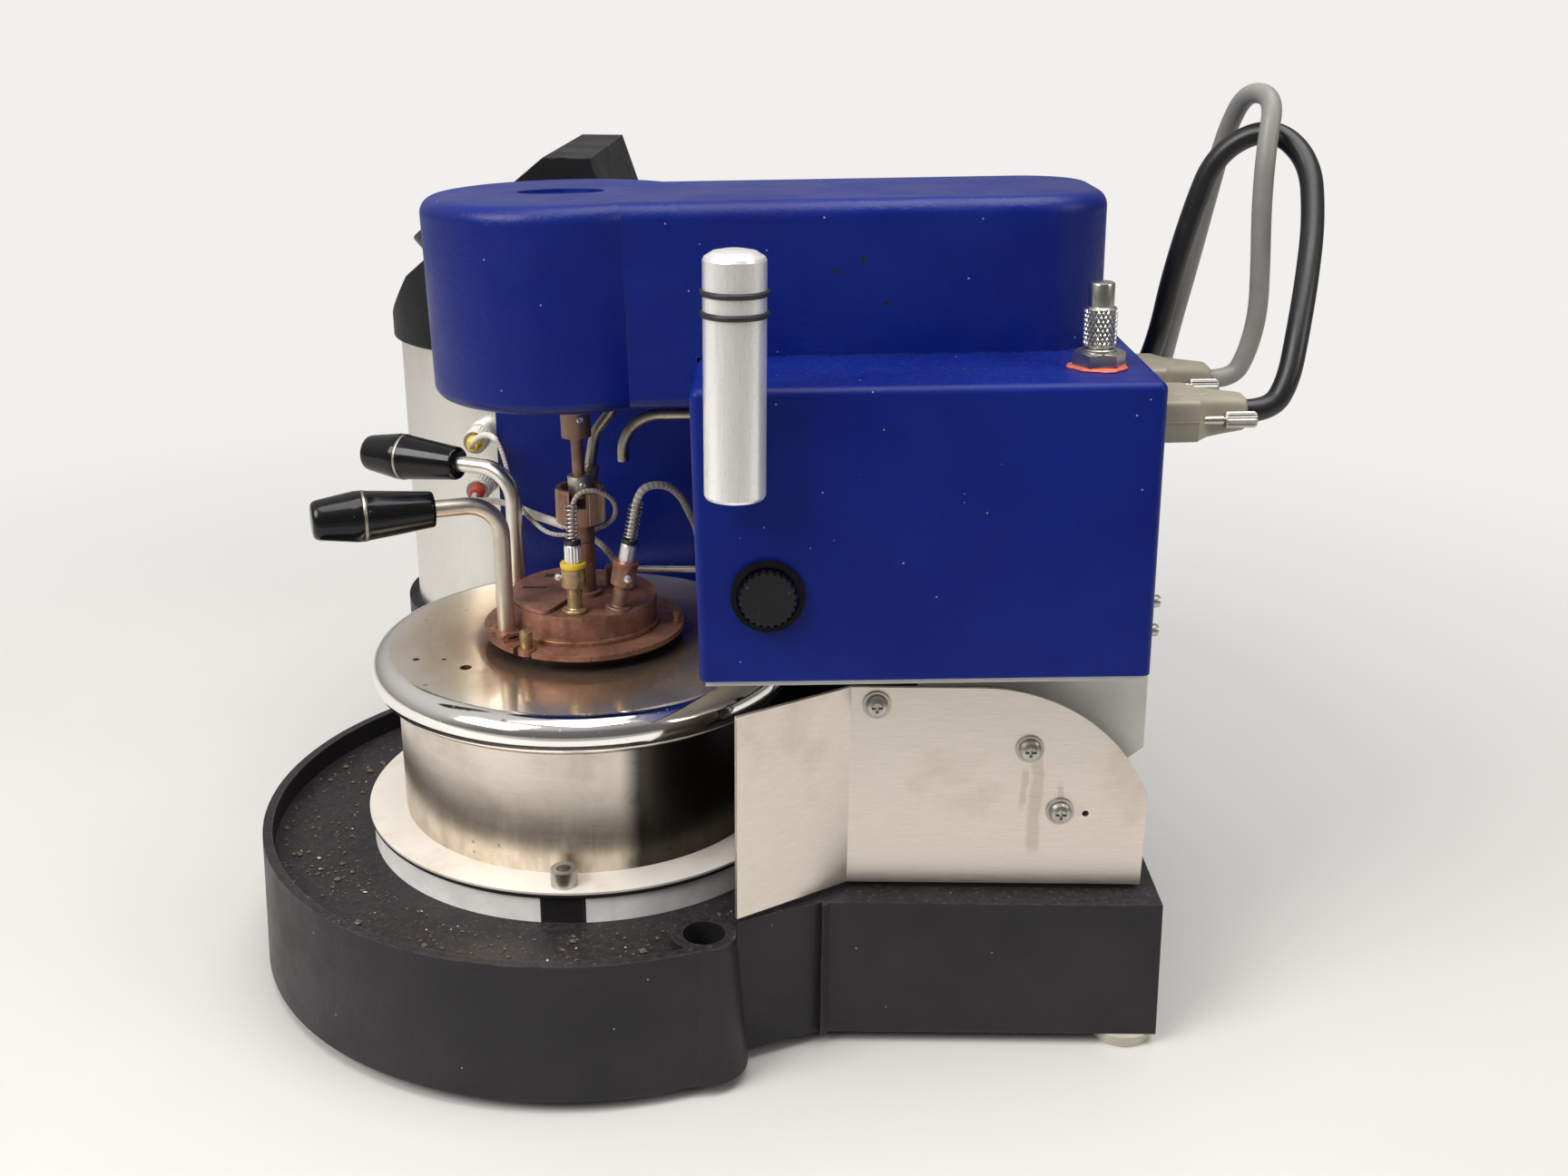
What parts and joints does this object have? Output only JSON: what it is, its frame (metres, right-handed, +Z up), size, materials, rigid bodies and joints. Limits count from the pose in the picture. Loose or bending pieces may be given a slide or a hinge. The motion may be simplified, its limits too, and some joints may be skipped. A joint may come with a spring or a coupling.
{
  "type": "flash point tester",
  "caption": "Closed-cup flash point tester with hinged stirring head, lidded brass cup in a round stove, steel shield and slanted control tower.",
  "frame": {"origin": "Middle of the footprint, at the underside of the feet; the free cables are left out of it.", "axes": "+Z up, -X the operator's side with grips and control face, +X the rear, -Y the side with the steel shield, +Y the side with tower and housing."},
  "size_m": [0.4012, 0.3627, 0.3407],
  "materials": {
    "base_black": "fine textured black",
    "foot_grey": "matt",
    "screw_steel": "bright",
    "skirt_white": "matt, stained",
    "gasket_black": "matt",
    "plate_steel": "brushed",
    "cylinder_steel": "brushed, stained by heat",
    "dome_steel": "polished, stained by heat",
    "block_metal": "cast",
    "band_mica": "matt",
    "cup_brass": "dull, stained",
    "lid_brass": "dull, stained",
    "post_brass": "bright",
    "rod_steel": "polished",
    "grip_black": "glossy",
    "spring_steel": "bright",
    "shutter_metal": "dull",
    "stirrer_metal": "knurled, dull",
    "shield_steel": "brushed along the length",
    "chassis_metal": "matt black",
    "frame_pale": "matt pale",
    "head_blue": "fine textured dark blue",
    "shell_steel": "brushed",
    "tower_black": "fine textured black",
    "window_glass": "dark, clear-coated",
    "knob_black": "matt",
    "socket_metal": "turned",
    "plug_pale": "matt",
    "gland_black": "matt",
    "board_green": "lacquered",
    "inlet_black": "matt",
    "tube_steel": "polished",
    "ring_black": "matt",
    "motor_metal": "turned",
    "nozzle_steel": "dull, stained",
    "cap_black": "matt",
    "nut_steel": "bright",
    "hood_pale": "matt grey",
    "cable_yellow": "braided",
    "cable_white": "braided",
    "cable_probe": "braided metal",
    "cable_black": "satin",
    "cable_grey": "satin"
  },
  "bodies": {
    "base_unit": {"base_tray": "base_black", "base_bottom_plate": "chassis_metal", "base_feet": "foot_grey", "foot_screws": "screw_steel", "skirt_ring": "skirt_white", "stove_gasket": "gasket_black", "stove_plate": "plate_steel", "plate_screws": "screw_steel", "stove_cylinder": "cylinder_steel", "stove_dome": "dome_steel", "heater_block": "block_metal", "heater_band": "band_mica", "shield_plate": "shield_steel", "shield_screws": "nut_steel", "chassis_frame": "chassis_metal", "pivot_shaft": "screw_steel", "tower_plinth": "tower_black", "tower_shell": "shell_steel", "housing_cover": "head_blue", "housing_rear_panel": "head_blue", "power_inlet": "inlet_black", "display_head": "tower_black", "display_window": "window_glass", "tower_sockets": "socket_metal", "sensor_plugs": "plug_pale", "wall_glands": "gland_black", "circuit_board": "board_green", "yellow_cable": "cable_yellow", "white_cable": "cable_white", "probe_cable": "cable_probe", "black_cable": "cable_black", "grey_cable": "cable_grey"},
    "head": {"head_frame": "frame_pale", "box_cover": "head_blue", "arm_cover": "head_blue", "stirrer_motor": "motor_metal", "nozzle_tube": "nozzle_steel", "guide_rod": "nozzle_steel", "cap_ring": "cap_black", "plunger_nut": "nut_steel", "connector_hoods": "hood_pale", "hood_thumbscrews": "nut_steel", "storage_tube": "tube_steel", "tube_rings": "ring_black"},
    "spindle": {"drive_spindle": "screw_steel"},
    "plunger": {"index_plunger": "nut_steel"},
    "cap": {"screw_cap": "cap_black"},
    "lid": {"lid_cover": "lid_brass", "lid_handle": "rod_steel", "lid_grip": "grip_black", "sensor_sockets": "post_brass", "sensor_probes": "post_brass", "strain_springs": "spring_steel"},
    "cup": {"test_cup": "cup_brass", "cup_handle": "rod_steel", "cup_grip": "grip_black"},
    "shutter": {"shutter_plate": "shutter_metal"},
    "stirrer_body": {"stirrer": "stirrer_metal"},
    "knob_shaft_body": {"knob_shaft": "screw_steel"},
    "knob": {"turn_knob": "knob_black"}
  },
  "joints": [
    {"name": "head_tilt", "type": "hinge", "parent": "base_unit", "child": "head", "pos_m": [0.09685, -0.04815, 0.072], "axis": [0, 1, 0], "range_deg": [0, 38], "deforming": ["black_cable", "grey_cable"]},
    {"name": "spindle_turn", "type": "hinge", "parent": "head", "child": "spindle", "pos_m": [-0.05324, -0.04815, 0.18811], "axis": [-0.0262, 0, 0.9997], "continuous": true},
    {"name": "plunger_pull", "type": "slide", "parent": "head", "child": "plunger", "axis": [-0.0262, 0, 0.9997], "range_m": [0, 0.006], "stiffness_N_per_m": 600, "springref_m": -0.004},
    {"name": "cap_turn", "type": "hinge", "parent": "head", "child": "cap", "pos_m": [0.02089, -0.14615, 0.18005], "axis": [0, -1, 0], "continuous": true},
    {"name": "lid_lift", "type": "slide", "parent": "base_unit", "child": "lid", "axis": [0, 0, 1], "range_m": [0, 0.003], "deforming": ["yellow_cable", "white_cable", "probe_cable"]},
    {"name": "cup_twist", "type": "hinge", "parent": "lid", "child": "cup", "pos_m": [-0.05315, -0.04815, 0.1344], "axis": [0, 0, 1], "range_deg": [0, 12]},
    {"name": "shutter_turn", "type": "hinge", "parent": "lid", "child": "shutter", "pos_m": [-0.05315, -0.04815, 0.1465], "axis": [0, 0, -1], "range_deg": [0, 40], "stiffness_Nm_per_rad": 0.02, "springref_deg": -28.65},
    {"name": "stirrer_turn", "type": "hinge", "parent": "lid", "child": "stirrer_body", "pos_m": [-0.05315, -0.04815, 0.18], "axis": [0, 0, 1], "continuous": true},
    {"name": "knob_press", "type": "slide", "parent": "base_unit", "child": "knob_shaft_body", "axis": [0.6277, 0, -0.7785], "range_m": [0, 0.0012], "stiffness_N_per_m": 1500, "springref_m": -0.0004},
    {"name": "knob_turn", "type": "hinge", "parent": "knob_shaft_body", "child": "knob", "pos_m": [-0.13447, 0.10785, 0.26687], "axis": [-0.6277, 0, 0.7785], "continuous": true}
  ],
  "couplings": [
    {"joint": "stirrer_turn", "follows": "spindle_turn", "ratio": 1}
  ]
}
